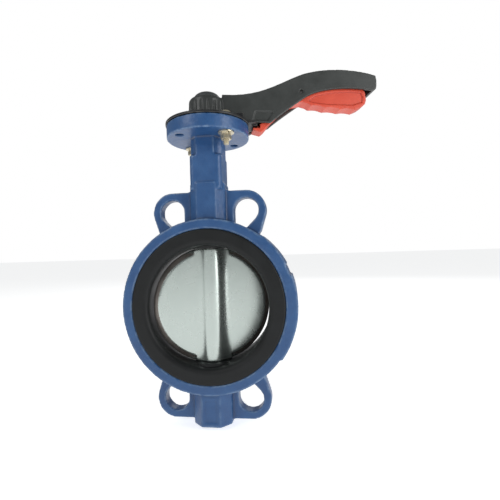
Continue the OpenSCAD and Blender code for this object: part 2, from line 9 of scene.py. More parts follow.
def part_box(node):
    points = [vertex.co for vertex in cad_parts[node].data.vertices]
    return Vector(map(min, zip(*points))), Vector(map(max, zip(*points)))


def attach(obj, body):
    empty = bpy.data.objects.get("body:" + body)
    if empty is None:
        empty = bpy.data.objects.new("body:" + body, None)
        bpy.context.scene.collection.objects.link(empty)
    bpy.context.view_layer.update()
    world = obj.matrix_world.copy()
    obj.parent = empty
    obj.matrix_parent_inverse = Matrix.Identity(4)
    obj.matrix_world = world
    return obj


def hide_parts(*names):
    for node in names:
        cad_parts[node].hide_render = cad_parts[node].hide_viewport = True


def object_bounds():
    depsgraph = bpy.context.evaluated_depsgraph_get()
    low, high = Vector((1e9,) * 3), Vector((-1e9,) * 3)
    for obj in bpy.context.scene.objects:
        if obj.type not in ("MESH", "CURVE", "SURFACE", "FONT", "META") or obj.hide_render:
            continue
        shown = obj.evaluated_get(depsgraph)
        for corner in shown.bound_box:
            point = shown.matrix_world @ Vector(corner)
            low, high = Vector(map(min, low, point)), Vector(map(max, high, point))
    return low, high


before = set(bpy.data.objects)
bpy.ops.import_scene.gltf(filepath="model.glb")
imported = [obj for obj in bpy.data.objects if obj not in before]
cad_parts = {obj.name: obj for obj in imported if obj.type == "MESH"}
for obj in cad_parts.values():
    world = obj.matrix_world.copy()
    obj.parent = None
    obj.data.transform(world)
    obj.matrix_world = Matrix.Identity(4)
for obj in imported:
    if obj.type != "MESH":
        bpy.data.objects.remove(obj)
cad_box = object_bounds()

# ---------------------------------------------------------------------------------------
# Camera. It stands in front of the pipe's face, a little to the right of the stem and
# level with the top of the ring, so the underside of the top flange can be seen.
# ---------------------------------------------------------------------------------------
eye = Vector((0.0911458, -0.3882952, 0.0529237))
sight = Vector((-0.12265691, 0.99236709, 0.01276071))
upward = Vector((0.03057072, -0.00907377, 0.99949142))
camera = bpy.data.objects.new("camera", bpy.data.cameras.new("camera"))
bpy.context.scene.collection.objects.link(camera)
camera.data.sensor_width = 36
camera.data.lens = 25.793
camera.data.clip_start = 0.01
turned = Matrix((sight.cross(upward), upward, -sight)).transposed()
camera.matrix_world = Matrix.Translation(eye) @ turned.to_4x4()
bpy.context.scene.camera = camera

# ---------------------------------------------------------------------------------------
# Studio. A wide pale floor that the bottom boss stands on, a pale surround, and three
# big soft lamps: one high on the left, one on the right and one behind.
# ---------------------------------------------------------------------------------------
floor_gap = 0.0002
floor_half = 60.0
floor_pale = (0.90, 0.90, 0.895, 1)
floor_pale_2 = (0.93, 0.93, 0.93, 1)
floor_glow = 0.66
surround_light = (0.95, 0.98, 1.0, 1)
surround_strength = 0.26


def new_material(name):
    """A material with its tree and its main shader."""
    material = bpy.data.materials.new(name)
    material.use_nodes = True
    return material, material.node_tree, material.node_tree.nodes["Principled BSDF"]


def add_node(tree, kind, inputs=None, **settings):
    """Adds a node, gives its sockets their values and sets its options."""
    node = tree.nodes.new(kind)
    for key, value in settings.items():
        setattr(node, key, value)
    for key, value in (inputs or {}).items():
        node.inputs[key].default_value = value
    return node


floor_mesh = bpy.data.meshes.new("floor")
floor_z = cad_box[0].z - floor_gap
floor_mesh.from_pydata(
    [(x * floor_half, y * floor_half, floor_z) for x, y in ((-1, -1), (1, -1), (1, 1), (-1, 1))],
    [], [(0, 1, 2, 3)])
floor = bpy.data.objects.new("floor", floor_mesh)
bpy.context.scene.collection.objects.link(floor)
floor_paint, tree, shader = new_material("floor_paint")
shader.inputs["Roughness"].default_value = 0.9
shader.inputs["Specular IOR Level"].default_value = 0.1
shader.inputs["Emission Color"].default_value = (1, 1, 1, 1)
shader.inputs["Emission Strength"].default_value = floor_glow
speckle = add_node(tree, "ShaderNodeTexNoise", {"Scale": 3.0, "Detail": 2.0})
pale = add_node(tree, "ShaderNodeMix", {"A": floor_pale, "B": floor_pale_2}, data_type="RGBA")
place = add_node(tree, "ShaderNodeTexCoord")
tree.links.new(place.outputs["Object"], speckle.inputs["Vector"])
tree.links.new(speckle.outputs["Fac"], pale.inputs["Factor"])
tree.links.new(pale.outputs["Result"], shader.inputs["Base Color"])
floor.data.materials.append(floor_paint)

world = bpy.data.worlds.new("surround")
world.use_nodes = True
surround = world.node_tree
seen = surround.nodes["Background"]
seen.inputs["Color"].default_value = (1.0, 1.0, 1.0, 1)
lit = add_node(surround, "ShaderNodeBackground",
               {"Color": surround_light, "Strength": surround_strength})
path = surround.nodes.new("ShaderNodeLightPath")
pick = surround.nodes.new("ShaderNodeMixShader")
surround.links.new(path.outputs["Is Camera Ray"], pick.inputs["Fac"])
surround.links.new(lit.outputs["Background"], pick.inputs[1])
surround.links.new(seen.outputs["Background"], pick.inputs[2])
surround.links.new(pick.outputs["Shader"], surround.nodes["World Output"].inputs["Surface"])
bpy.context.scene.world = world
bpy.context.scene.view_settings.view_transform = "Standard"


def soft_lamp(name, place, aim, size, watts):
    """A square soft lamp that shines from one point towards another."""
    lamp = bpy.data.objects.new(name, bpy.data.lights.new(name, "AREA"))
    lamp.data.shape = "RECTANGLE"
    lamp.data.size, lamp.data.size_y = size
    lamp.data.energy = watts
    lamp.location = place
    lamp.rotation_euler = (Vector(aim) - Vector(place)).to_track_quat("-Z", "Y").to_euler()
    bpy.context.scene.collection.objects.link(lamp)


soft_lamp("lamp_left", (-1.1, -1.2, 1.1), (0, 0, 0.06), (0.7, 0.7), 8)
soft_lamp("lamp_right", (1.5, -0.8, 0.5), (0, 0, 0.06), (0.6, 1.0), 11)
soft_lamp("lamp_back", (0.3, 1.6, 1.2), (0, 0, 0.08), (1.4, 0.9), 8)

# ---------------------------------------------------------------------------------------
# Valve body. One iron casting: ring, neck, top flange, four lugs and the bottom boss.
# It is sand cast, so its edges are round and its skin uneven, then dipped in blue epoxy.
# ---------------------------------------------------------------------------------------
body_voxel = 0.0013
body_blue = (0.014, 0.066, 0.195, 1)
body_blue_light = (0.024, 0.094, 0.245, 1)
# Lighter blue on sharp edges, partly wear and partly a painted highlight; darker blue in the hollows,
# painted shade.
body_edge_wear_and_highlight = (0.20, 0.30, 0.44, 1)
body_hollow_shade = (0.010, 0.026, 0.075, 1)


def joined_copy(node, name):
    """A copy of a CAD node whose loose triangles are joined, ready to be finished."""
    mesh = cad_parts[node].data.copy()
    mesh.name = name
    mesh.materials.clear()
    copy = bpy.data.objects.new(name, mesh)
    bpy.context.scene.collection.objects.link(copy)
    work = bmesh.new()
    work.from_mesh(mesh)
    bmesh.ops.remove_doubles(work, verts=work.verts, dist=2e-6)
    work.to_mesh(mesh)
    work.free()
    if "custom_normal" in mesh.attributes:
        mesh.attributes.remove(mesh.attributes["custom_normal"])
    return copy


def made_plain(piece):
    """Takes the piece's modifiers into its mesh."""
    shown = piece.evaluated_get(bpy.context.evaluated_depsgraph_get())
    mesh = bpy.data.meshes.new_from_object(shown)
    mesh.name = piece.name
    piece.modifiers.clear()
    piece.data = mesh
    return piece


def kept_in_box(piece, node):
    """Moves any point that stands outside the CAD node's box back to its face."""
    low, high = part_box(node)
    points = np.empty(len(piece.data.vertices) * 3)
    piece.data.vertices.foreach_get("co", points)
    points = np.clip(points.reshape(-1, 3), low, high)
    piece.data.vertices.foreach_set("co", points.ravel())
    piece.data.update()


def rounded_skin(node, name, voxel, before=2, after=2):
    """An even skin over a CAD node, drawn onto its faces, with its edges rounded off."""
    target = joined_copy(node, name + "_shape")
    piece = joined_copy(node, name)
    skin = piece.modifiers.new("skin", "REMESH")
    skin.mode = "VOXEL"
    skin.voxel_size = voxel
    skin.use_smooth_shade = True
    ease = piece.modifiers.new("ease", "SMOOTH")
    ease.iterations = before
    draw = piece.modifiers.new("draw", "SHRINKWRAP")
    draw.target = target
    draw.wrap_method = "NEAREST_SURFACEPOINT"
    round_off = piece.modifiers.new("round_off", "SMOOTH")
    round_off.iterations = after
    made_plain(piece)
    bpy.data.objects.remove(target)
    kept_in_box(piece, node)
    return piece


def sand_cast_tree():
    """Moves a skin in and out along its normals by two sizes of noise."""
    tree = bpy.data.node_groups.new("sand_cast", "GeometryNodeTree")
    make = tree.interface.new_socket
    make("Geometry", in_out="INPUT", socket_type="NodeSocketGeometry")
    sizes = (("Swell", 0.0003), ("Swell scale", 70.0), ("Grit", 0.0001), ("Grit scale", 380.0))
    for socket, value in sizes:
        make(socket, in_out="INPUT", socket_type="NodeSocketFloat").default_value = value
    make("Geometry", in_out="OUTPUT", socket_type="NodeSocketGeometry")
    source = tree.nodes.new("NodeGroupInput")
    result = tree.nodes.new("NodeGroupOutput")
    normal = tree.nodes.new("GeometryNodeInputNormal")
    shifts = []
    for depth, scale in (("Swell", "Swell scale"), ("Grit", "Grit scale")):
        noise = add_node(tree, "ShaderNodeTexNoise", {"Detail": 2.0, "W": 3.0}, noise_dimensions="4D")
        centred = add_node(tree, "ShaderNodeMath", {1: 0.5}, operation="SUBTRACT")
        scaled = add_node(tree, "ShaderNodeMath", operation="MULTIPLY")
        tree.links.new(source.outputs[scale], noise.inputs["Scale"])
        tree.links.new(noise.outputs["Fac"], centred.inputs[0])
        tree.links.new(centred.outputs[0], scaled.inputs[0])
        tree.links.new(source.outputs[depth], scaled.inputs[1])
        shifts.append(scaled)
    both = add_node(tree, "ShaderNodeMath", operation="ADD")
    along = add_node(tree, "ShaderNodeVectorMath", operation="SCALE")
    move = tree.nodes.new("GeometryNodeSetPosition")
    tree.links.new(shifts[0].outputs[0], both.inputs[0])
    tree.links.new(shifts[1].outputs[0], both.inputs[1])
    tree.links.new(normal.outputs[0], along.inputs[0])
    tree.links.new(both.outputs[0], along.inputs["Scale"])
    tree.links.new(source.outputs["Geometry"], move.inputs["Geometry"])
    tree.links.new(along.outputs[0], move.inputs["Offset"])
    tree.links.new(move.outputs["Geometry"], result.inputs["Geometry"])
    return tree


def use_tree(piece, tree, values):
    """Adds a Geometry Nodes tree to a piece, sets its inputs and takes it into the mesh."""
    step = piece.modifiers.new(tree.name, "NODES")
    step.node_group = tree
    for item in tree.interface.items_tree:
        if item.in_out == "INPUT" and item.name in values:
            step[item.identifier] = values[item.name]
    return made_plain(piece)


sand_cast = sand_cast_tree()


def grain_group():
    """Fine grain on a painted or moulded skin: a height for bump, and a slow mottle."""
    tree = bpy.data.node_groups.new("skin_grain", "ShaderNodeTree")
    make = tree.interface.new_socket
    for socket, value in (("Grain scale", 900.0), ("Mottle scale", 60.0), ("Lumps", 0.5)):
        make(socket, in_out="INPUT", socket_type="NodeSocketFloat").default_value = value
    for socket in ("Height", "Mottle", "Grain"):
        make(socket, in_out="OUTPUT", socket_type="NodeSocketFloat")
    source = tree.nodes.new("NodeGroupInput")
    result = tree.nodes.new("NodeGroupOutput")
    place = tree.nodes.new("ShaderNodeTexCoord")
    grain = add_node(tree, "ShaderNodeTexNoise", {"Detail": 3.0, "Roughness": 0.55})
    lumps = add_node(tree, "ShaderNodeTexVoronoi", feature="SMOOTH_F1")
    mottle = add_node(tree, "ShaderNodeTexNoise", {"Detail": 4.0, "Roughness": 0.6})
    lump_scale = add_node(tree, "ShaderNodeMath", {1: 0.6}, operation="MULTIPLY")
    mixed = add_node(tree, "ShaderNodeMix", data_type="FLOAT")
    for texture in (grain, lumps, mottle):
        tree.links.new(place.outputs["Object"], texture.inputs["Vector"])
    tree.links.new(source.outputs["Grain scale"], grain.inputs["Scale"])
    tree.links.new(source.outputs["Grain scale"], lump_scale.inputs[0])
    tree.links.new(lump_scale.outputs[0], lumps.inputs["Scale"])
    tree.links.new(source.outputs["Mottle scale"], mottle.inputs["Scale"])
    tree.links.new(source.outputs["Lumps"], mixed.inputs["Factor"])
    tree.links.new(grain.outputs["Fac"], mixed.inputs["A"])
    tree.links.new(lumps.outputs["Distance"], mixed.inputs["B"])
    tree.links.new(mixed.outputs["Result"], result.inputs["Height"])
    tree.links.new(mottle.outputs["Fac"], result.inputs["Mottle"])
    tree.links.new(grain.outputs["Fac"], result.inputs["Grain"])
    return tree


def edge_group():
    """Masks where a skin is sharp and where it is hollow. The sharp mask, broken up by noise so that it
    looks uneven, carries edge wear and a painted highlight; the hollow mask carries painted shade.
    """
    tree = bpy.data.node_groups.new("edge_and_hollow", "ShaderNodeTree")
    make = tree.interface.new_socket
    limits = (("Edge start", 0.51), ("Edge full", 0.58), ("Hollow depth", 0.06), ("Break-up", 160.0))
    for socket, value in limits:
        make(socket, in_out="INPUT", socket_type="NodeSocketFloat").default_value = value
    for socket in ("Edge", "Hollow"):
        make(socket, in_out="OUTPUT", socket_type="NodeSocketFloat")
    source = tree.nodes.new("NodeGroupInput")
    result = tree.nodes.new("NodeGroupOutput")
    shape = tree.nodes.new("ShaderNodeNewGeometry")
    place = tree.nodes.new("ShaderNodeTexCoord")
    noise = add_node(tree, "ShaderNodeTexNoise", {"Detail": 3.0})
    # Sharp edges get a lighter colour: partly wear, partly a painted highlight.
    edge = tree.nodes.new("ShaderNodeMapRange")
    # Hollows get a darker colour: painted shade.
    hollow = add_node(tree, "ShaderNodeMapRange", {"From Min": 0.495, "To Min": 0.0, "To Max": 1.0})
    floor_at = add_node(tree, "ShaderNodeMath", {0: 0.495}, operation="SUBTRACT")
    uneven = add_node(tree, "ShaderNodeMapRange", {"From Min": 0.35, "From Max": 0.62})
    edge_wear_and_highlight = add_node(tree, "ShaderNodeMath", operation="MULTIPLY")
    tree.links.new(place.outputs["Object"], noise.inputs["Vector"])
    tree.links.new(source.outputs["Break-up"], noise.inputs["Scale"])
    tree.links.new(shape.outputs["Pointiness"], edge.inputs["Value"])
    tree.links.new(source.outputs["Edge start"], edge.inputs["From Min"])
    tree.links.new(source.outputs["Edge full"], edge.inputs["From Max"])
    tree.links.new(shape.outputs["Pointiness"], hollow.inputs["Value"])
    tree.links.new(source.outputs["Hollow depth"], floor_at.inputs[1])
    tree.links.new(floor_at.outputs[0], hollow.inputs["From Max"])
    tree.links.new(noise.outputs["Fac"], uneven.inputs["Value"])
    tree.links.new(edge.outputs["Result"], edge_wear_and_highlight.inputs[0])
    tree.links.new(uneven.outputs["Result"], edge_wear_and_highlight.inputs[1])
    tree.links.new(edge_wear_and_highlight.outputs[0], result.inputs["Edge"])
    tree.links.new(hollow.outputs["Result"], result.inputs["Hollow"])
    return tree


skin_grain = grain_group()
edge_and_hollow = edge_group()


def finish_material(name, colour, colour_2, edge, hollow, roughness, roughness_2, bump, grain_scale,
                    mottle_scale=60.0, lumps=0.4, edge_wear_and_highlight_limits=(0.51, 0.58), metal=0.0, coat=0.0, coat_rough=0.2):
    """A skin in two mixed tones, with a lighter edge colour that is partly wear and partly a painted
    highlight, a darker hollow colour that is painted shade, grain and gloss.
    """
    material, tree, shader = new_material(name)
    link = tree.links.new
    grain = add_node(tree, "ShaderNodeGroup", node_tree=skin_grain)
    grain.inputs["Grain scale"].default_value = grain_scale
    grain.inputs["Mottle scale"].default_value = mottle_scale
    grain.inputs["Lumps"].default_value = lumps
    shape = add_node(tree, "ShaderNodeGroup", node_tree=edge_and_hollow)
    shape.inputs["Edge start"].default_value, shape.inputs["Edge full"].default_value = edge_wear_and_highlight_limits
    spread = add_node(tree, "ShaderNodeMapRange", {"From Min": 0.3, "From Max": 0.7})
    base = add_node(tree, "ShaderNodeMix", {"A": colour, "B": colour_2}, data_type="RGBA")
    # Hollows are darkened with painted shade; sharp edges are lightened with a colour that is partly wear
    # and partly a painted highlight.
    painted_hollow_shade = add_node(tree, "ShaderNodeMix", {"B": hollow}, data_type="RGBA")
    edge_wear_and_highlight = add_node(tree, "ShaderNodeMix", {"B": edge}, data_type="RGBA")
    gloss = add_node(tree, "ShaderNodeMapRange",
                     {"From Min": 0.3, "From Max": 0.7, "To Min": roughness, "To Max": roughness_2})
    bumps = add_node(tree, "ShaderNodeBump", {"Strength": 1.0, "Distance": bump})
    link(grain.outputs["Mottle"], spread.inputs["Value"])
    link(spread.outputs["Result"], base.inputs["Factor"])
    link(base.outputs["Result"], painted_hollow_shade.inputs["A"])
    link(shape.outputs["Hollow"], painted_hollow_shade.inputs["Factor"])
    link(painted_hollow_shade.outputs["Result"], edge_wear_and_highlight.inputs["A"])
    link(shape.outputs["Edge"], edge_wear_and_highlight.inputs["Factor"])
    link(edge_wear_and_highlight.outputs["Result"], shader.inputs["Base Color"])
    link(grain.outputs["Mottle"], gloss.inputs["Value"])
    link(gloss.outputs["Result"], shader.inputs["Roughness"])
    link(grain.outputs["Height"], bumps.inputs["Height"])
    link(bumps.outputs["Normal"], shader.inputs["Normal"])
    shader.inputs["Metallic"].default_value = metal
    shader.inputs["Coat Weight"].default_value = coat
    shader.inputs["Coat Roughness"].default_value = coat_rough
    return material


body_epoxy = finish_material(
    "body_epoxy",
    colour=body_blue, colour_2=body_blue_light,
    edge=body_edge_wear_and_highlight, hollow=body_hollow_shade,
    roughness=0.34, roughness_2=0.50, bump=0.0003, grain_scale=520.0,
    mottle_scale=45.0, lumps=0.5, edge_wear_and_highlight_limits=(0.512, 0.575), coat=0.2, coat_rough=0.25)

body = rounded_skin("valve_body", "body_casting", body_voxel)
use_tree(body, sand_cast, {"Swell": 0.0005, "Swell scale": 90.0, "Grit": 0.00022, "Grit scale": 420.0})
kept_in_box(body, "valve_body")
body.data.materials.append(body_epoxy)
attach(body, "valve")
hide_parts("valve_body")

# ---------------------------------------------------------------------------------------
# Seat liner. Black rubber moulded round the bore. It keys into the ring, its two flat
# faces are the gaskets against the pipe flanges, and its round lips lead into the bore.
# ---------------------------------------------------------------------------------------
liner_black = (0.0055, 0.0062, 0.0066, 1)
liner_black_worn = (0.011, 0.0125, 0.0132, 1)
liner_voxel = 0.001
liner_rubber = finish_material(
    "liner_rubber",
    colour=liner_black, colour_2=liner_black_worn,
    edge=(0.05, 0.052, 0.054, 1), hollow=(0.005, 0.005, 0.006, 1),
    roughness=0.42, roughness_2=0.55, bump=0.00004, grain_scale=1500.0,
    mottle_scale=35.0, lumps=0.2, edge_wear_and_highlight_limits=(0.53, 0.66))
liner_rubber.node_tree.nodes["Principled BSDF"].inputs["Specular IOR Level"].default_value = 0.3
liner = rounded_skin("seat_liner", "rubber_liner", liner_voxel, after=3)
liner.data.materials.append(liner_rubber)
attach(liner, "valve")
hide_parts("seat_liner")

# ---------------------------------------------------------------------------------------
# Disc. An iron casting with the stems' boss down its middle, plated bright all over. The
# sloping land round its edge is ground to seal; its darker brown-grey colour is a painted
# reflection of the dark rubber liner.
# ---------------------------------------------------------------------------------------
disc_voxel = 0.00085
disc_pale = (0.50, 0.56, 0.53, 1)
disc_pale_2 = (0.55, 0.61, 0.575, 1)
disc_coating = finish_material(
    "disc_coating",
    colour=disc_pale, colour_2=disc_pale_2,
    edge=(0.62, 0.66, 0.63, 1), hollow=(0.36, 0.40, 0.38, 1),
    roughness=0.24, roughness_2=0.30, bump=0.00002, grain_scale=420.0,
    mottle_scale=40.0, lumps=0.3, edge_wear_and_highlight_limits=(0.54, 0.7), metal=0.9)
land_from = 0.0585
boss_from = 0.056
# The land's darker brown-grey metal colour is a painted reflection of the dark rubber liner.
disc_land_reflection = finish_material(
    "disc_land_reflection",
    colour=(0.20, 0.18, 0.165, 1), colour_2=(0.30, 0.27, 0.245, 1),
    edge=(0.45, 0.42, 0.38, 1), hollow=(0.10, 0.09, 0.08, 1),
    roughness=0.28, roughness_2=0.42, bump=0.00002, grain_scale=900.0,
    mottle_scale=50.0, lumps=0.2, metal=0.8)
disc = rounded_skin("disc", "disc_casting", disc_voxel, before=3, after=4)
disc.data.materials.append(disc_coating)
disc.data.materials.append(disc_land_reflection)
# Faces on the land take the darker colour of the painted reflection.
for face in disc.data.polygons:
    on_land = face.center.length > land_from and abs(face.center.z) < boss_from
    face.material_index = 1 if on_land else 0
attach(disc, "rotor")
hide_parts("disc")

# ---------------------------------------------------------------------------------------
# Handle. A cast lever with a fluted hub on the stem's square and an arm that is a
# channel, open underneath, with black paint over it.
# ---------------------------------------------------------------------------------------
handle_black = finish_material(
    "handle_black",
    colour=(0.028, 0.031, 0.029, 1), colour_2=(0.040, 0.044, 0.042, 1),
    edge=(0.10, 0.105, 0.10, 1), hollow=(0.012, 0.013, 0.012, 1),
    roughness=0.34, roughness_2=0.46, bump=0.00006, grain_scale=900.0,
    mottle_scale=50.0, lumps=0.4, edge_wear_and_highlight_limits=(0.53, 0.64))
handle = rounded_skin("handle", "lever_handle", 0.0007)
handle.data.materials.append(handle_black)
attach(handle, "rotor")
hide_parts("handle")

# ---------------------------------------------------------------------------------------
# Trigger. A red lever inside the channel. Its tooth drops into the plate's notches and
# its paddle is squeezed against the arm to lift the tooth out.
# ---------------------------------------------------------------------------------------
trigger_red = finish_material(
    "trigger_red",
    colour=(0.60, 0.062, 0.030, 1), colour_2=(0.68, 0.080, 0.040, 1),
    edge=(0.80, 0.18, 0.11, 1), hollow=(0.30, 0.02, 0.01, 1),
    roughness=0.30, roughness_2=0.42, bump=0.00005, grain_scale=800.0,
    mottle_scale=45.0, lumps=0.4, edge_wear_and_highlight_limits=(0.53, 0.66))
trigger = rounded_skin("trigger", "red_trigger", 0.0006)
trigger.data.materials.append(trigger_red)
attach(trigger, "trigger_lever")
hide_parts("trigger")

# ---------------------------------------------------------------------------------------
# Notch plate. A steel pressing, blackened, bolted to the flange. Its teeth and stops are
# rubbed bright where the trigger's tooth slides into them.
# ---------------------------------------------------------------------------------------
plate_black = finish_material(
    "plate_black",
    colour=(0.020, 0.021, 0.023, 1), colour_2=(0.032, 0.033, 0.035, 1),
    edge=(0.30, 0.28, 0.25, 1), hollow=(0.008, 0.008, 0.009, 1),
    roughness=0.32, roughness_2=0.5, bump=0.00002, grain_scale=1400.0,
    mottle_scale=70.0, lumps=0.1, edge_wear_and_highlight_limits=(0.53, 0.60), metal=0.5)
plate = rounded_skin("notch_plate", "notched_plate", 0.00055, before=1, after=2)
plate.data.materials.append(plate_black)
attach(plate, "valve")
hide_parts("notch_plate")

# ---------------------------------------------------------------------------------------
# Plate bolts. Two M6 hexagon bolts go down through the plate and the flange, each with a
# flat washer, a spring washer and a nut below. All four kinds are turned or cold formed and
# zinc plated; the bolts' threads are rolled.
# ---------------------------------------------------------------------------------------
zinc = finish_material(
    "zinc_yellow",
    colour=(0.46, 0.40, 0.27, 1), colour_2=(0.58, 0.52, 0.38, 1),
    edge=(0.75, 0.70, 0.58, 1), hollow=(0.18, 0.14, 0.08, 1),
    roughness=0.26, roughness_2=0.40, bump=0.00001, grain_scale=1800.0,
    mottle_scale=260.0, lumps=0.1, edge_wear_and_highlight_limits=(0.53, 0.62), metal=0.9)


def lathe(work, outline, centre=(0.0, 0.0), steps=32):
    """Turns an outline of (radius, height) points, closed at both ends, round Z."""
    rings = []
    for radius, height in outline:
        if radius < 1e-7:
            rings.append([work.verts.new((centre[0], centre[1], height))])
        else:
            rings.append([work.verts.new((centre[0] + radius * math.cos(2 * math.pi * i / steps),
                                          centre[1] + radius * math.sin(2 * math.pi * i / steps), height))
                          for i in range(steps)])
    for lower, upper in zip(rings, rings[1:]):
        for i in range(steps):
            j = (i + 1) % steps
            if len(lower) == 1:
                work.faces.new((lower[0], upper[j], upper[i]))
            elif len(upper) == 1:
                work.faces.new((lower[i], lower[j], upper[0]))
            else:
                work.faces.new((lower[i], lower[j], upper[j], upper[i]))


def chamfered_hex(work, flats, bottom, top, bore, chamfer):
    """A hexagon with both faces turned back at the corners, round a bore if it has one."""
    half = flats / 2
    sides = 6
    per = 6
    turned_back = 0.97 * half
    corner = half / math.cos(math.pi / sides)
    loops = []

    def loop(height, limit):
        ring = []
        for side in range(sides):
            for step in range(per):
                angle = 2 * math.pi * (side + step / per) / sides
                within = (angle % (2 * math.pi / sides)) - math.pi / sides
                radius = min(half / math.cos(within), limit)
                ring.append((radius * math.cos(angle), radius * math.sin(angle), height))
        loops.append(ring)

    loop(bottom, turned_back)
    loop(bottom + chamfer, corner)
    loop(top - chamfer, corner)
    loop(top, turned_back)
    made = [[work.verts.new(point) for point in ring] for ring in loops]
    count = sides * per
    turns = [2 * math.pi * i / count for i in range(count)]
    inner = [[work.verts.new((bore * math.cos(a), bore * math.sin(a), height)) for a in turns]
             for height in (bottom, top)]
    for lower, upper in zip(made, made[1:]):
        for i in range(count):
            j = (i + 1) % count
            work.faces.new((lower[i], lower[j], upper[j], upper[i]))
    for i in range(count):
        j = (i + 1) % count
        work.faces.new((made[0][j], made[0][i], inner[0][i], inner[0][j]))
        work.faces.new((made[-1][i], made[-1][j], inner[1][j], inner[1][i]))
        work.faces.new((inner[0][j], inner[0][i], inner[1][i], inner[1][j]))


def threaded_rod(work, core, crest, bottom, top, pitch, steps=20):
    """A rod from bottom to top whose surface is one helical thread, closed at both ends."""
    rows = max(2, int((top - bottom) / pitch * 6))
    grid = []
    for row in range(rows + 1):
        height = bottom + (top - bottom) * row / rows
        fade = min(1.0, row / 3, (rows - row) / 3)
        ring = []
        for i in range(steps):
            angle = 2 * math.pi * i / steps
            phase = (height / pitch - i / steps) % 1.0
            radius = core + (crest - core) * fade * (1 - abs(2 * phase - 1))
            ring.append(work.verts.new((radius * math.cos(angle), radius * math.sin(angle), height)))
        grid.append(ring)
    for lower, upper in zip(grid, grid[1:]):
        for i in range(steps):
            j = (i + 1) % steps
            work.faces.new((lower[i], lower[j], upper[j], upper[i]))
    work.faces.new(list(reversed(grid[0])))
    work.faces.new(grid[-1])


def circle_tree():
    """Puts copies of one piece on a circle round Z, each turned with its place on it."""
    tree = bpy.data.node_groups.new("parts_on_a_circle", "GeometryNodeTree")
    make = tree.interface.new_socket
    make("Piece", in_out="INPUT", socket_type="NodeSocketGeometry")
    make("Count", in_out="INPUT", socket_type="NodeSocketInt").default_value = 2
    for socket, value in (("Pitch circle radius", 0.035), ("First angle", 0.0)):
        make(socket, in_out="INPUT", socket_type="NodeSocketFloat").default_value = value
    make("Finish", in_out="INPUT", socket_type="NodeSocketMaterial")
    make("Geometry", in_out="OUTPUT", socket_type="NodeSocketGeometry")
    source = tree.nodes.new("NodeGroupInput")
    result = tree.nodes.new("NodeGroupOutput")
    points = tree.nodes.new("GeometryNodePoints")
    spot = tree.nodes.new("ShaderNodeCombineXYZ")
    place = tree.nodes.new("GeometryNodeInstanceOnPoints")
    index = tree.nodes.new("GeometryNodeInputIndex")
    turn = add_node(tree, "ShaderNodeMath", {0: 2 * math.pi}, operation="DIVIDE")
    angle = add_node(tree, "ShaderNodeMath", operation="MULTIPLY")
    spin = tree.nodes.new("ShaderNodeCombineXYZ")
    start = tree.nodes.new("ShaderNodeCombineXYZ")
    move = tree.nodes.new("GeometryNodeTransform")
    solid = tree.nodes.new("GeometryNodeRealizeInstances")
    coat = tree.nodes.new("GeometryNodeSetMaterial")
    tree.links.new(source.outputs["Count"], points.inputs["Count"])
    for operation, axis in (("COSINE", "X"), ("SINE", "Y")):
        share = add_node(tree, "ShaderNodeMath", operation=operation)
        reach = add_node(tree, "ShaderNodeMath", operation="MULTIPLY")
        tree.links.new(angle.outputs[0], share.inputs[0])
        tree.links.new(share.outputs[0], reach.inputs[0])
        tree.links.new(source.outputs["Pitch circle radius"], reach.inputs[1])
        tree.links.new(reach.outputs[0], spot.inputs[axis])
    tree.links.new(spot.outputs["Vector"], points.inputs["Position"])
    tree.links.new(points.outputs[0], place.inputs["Points"])
    tree.links.new(source.outputs["Piece"], place.inputs["Instance"])
    tree.links.new(source.outputs["Count"], turn.inputs[1])
    tree.links.new(turn.outputs[0], angle.inputs[0])
    tree.links.new(index.outputs["Index"], angle.inputs[1])
    tree.links.new(angle.outputs[0], spin.inputs["Z"])
    tree.links.new(spin.outputs["Vector"], place.inputs["Rotation"])
    tree.links.new(source.outputs["First angle"], start.inputs["Z"])
    tree.links.new(start.outputs["Vector"], move.inputs["Rotation"])
    tree.links.new(place.outputs["Instances"], move.inputs["Geometry"])
    tree.links.new(move.outputs["Geometry"], solid.inputs["Geometry"])
    tree.links.new(solid.outputs["Geometry"], coat.inputs["Geometry"])
    tree.links.new(source.outputs["Finish"], coat.inputs["Material"])
    tree.links.new(coat.outputs["Geometry"], result.inputs["Geometry"])
    return tree


parts_on_a_circle = circle_tree()


def piece_from(build, name):
    """A new object from a function that fills an empty mesh."""
    mesh = bpy.data.meshes.new(name)
    work = bmesh.new()
    build(work)
    bmesh.ops.recalc_face_normals(work, faces=work.faces)
    work.to_mesh(mesh)
    work.free()
    piece = bpy.data.objects.new(name, mesh)
    bpy.context.scene.collection.objects.link(piece)
    return piece


bolt_circle = 0.035
bolt_first = math.radians(135)
bolt_af = 0.010
bolt_r = 0.003
bolt_core = 0.00252
bolt_pitch = 0.001
bolt_head_h = 0.0042
hex_chamfer = 0.0006
socket_r = 0.45 * bolt_r
washer_r = 0.0084
washer_rim = 0.0002
bolt_low, bolt_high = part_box("plate_bolts")
head_from = bolt_high.z - bolt_head_h
washer_low, washer_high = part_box("bolt_washers")
nut_low, nut_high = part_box("plate_nuts")


def bolt_shape(work):
    chamfered_hex(work, bolt_af, head_from, bolt_high.z, bolt_r * 0.4, hex_chamfer)
    threaded_rod(work, bolt_core, bolt_r, bolt_low.z, head_from + 0.001, bolt_pitch)
    plug_low = head_from + 0.0004
    plug_high = bolt_high.z - 0.0005
    lathe(work, [(0, plug_low), (socket_r, plug_low), (socket_r, plug_high), (0, plug_high)], steps=36)


def washer_shape(work):
    bottom, top = washer_low.z, washer_high.z
    lathe(work, [(bolt_r, bottom), (washer_r - washer_rim, bottom), (washer_r, bottom + washer_rim),
                 (washer_r, top - washer_rim), (washer_r - washer_rim, top), (bolt_r, top),
                 (bolt_r, bottom)], steps=40)


def nut_shape(work):
    chamfered_hex(work, bolt_af, nut_low.z, nut_high.z, bolt_r, hex_chamfer)


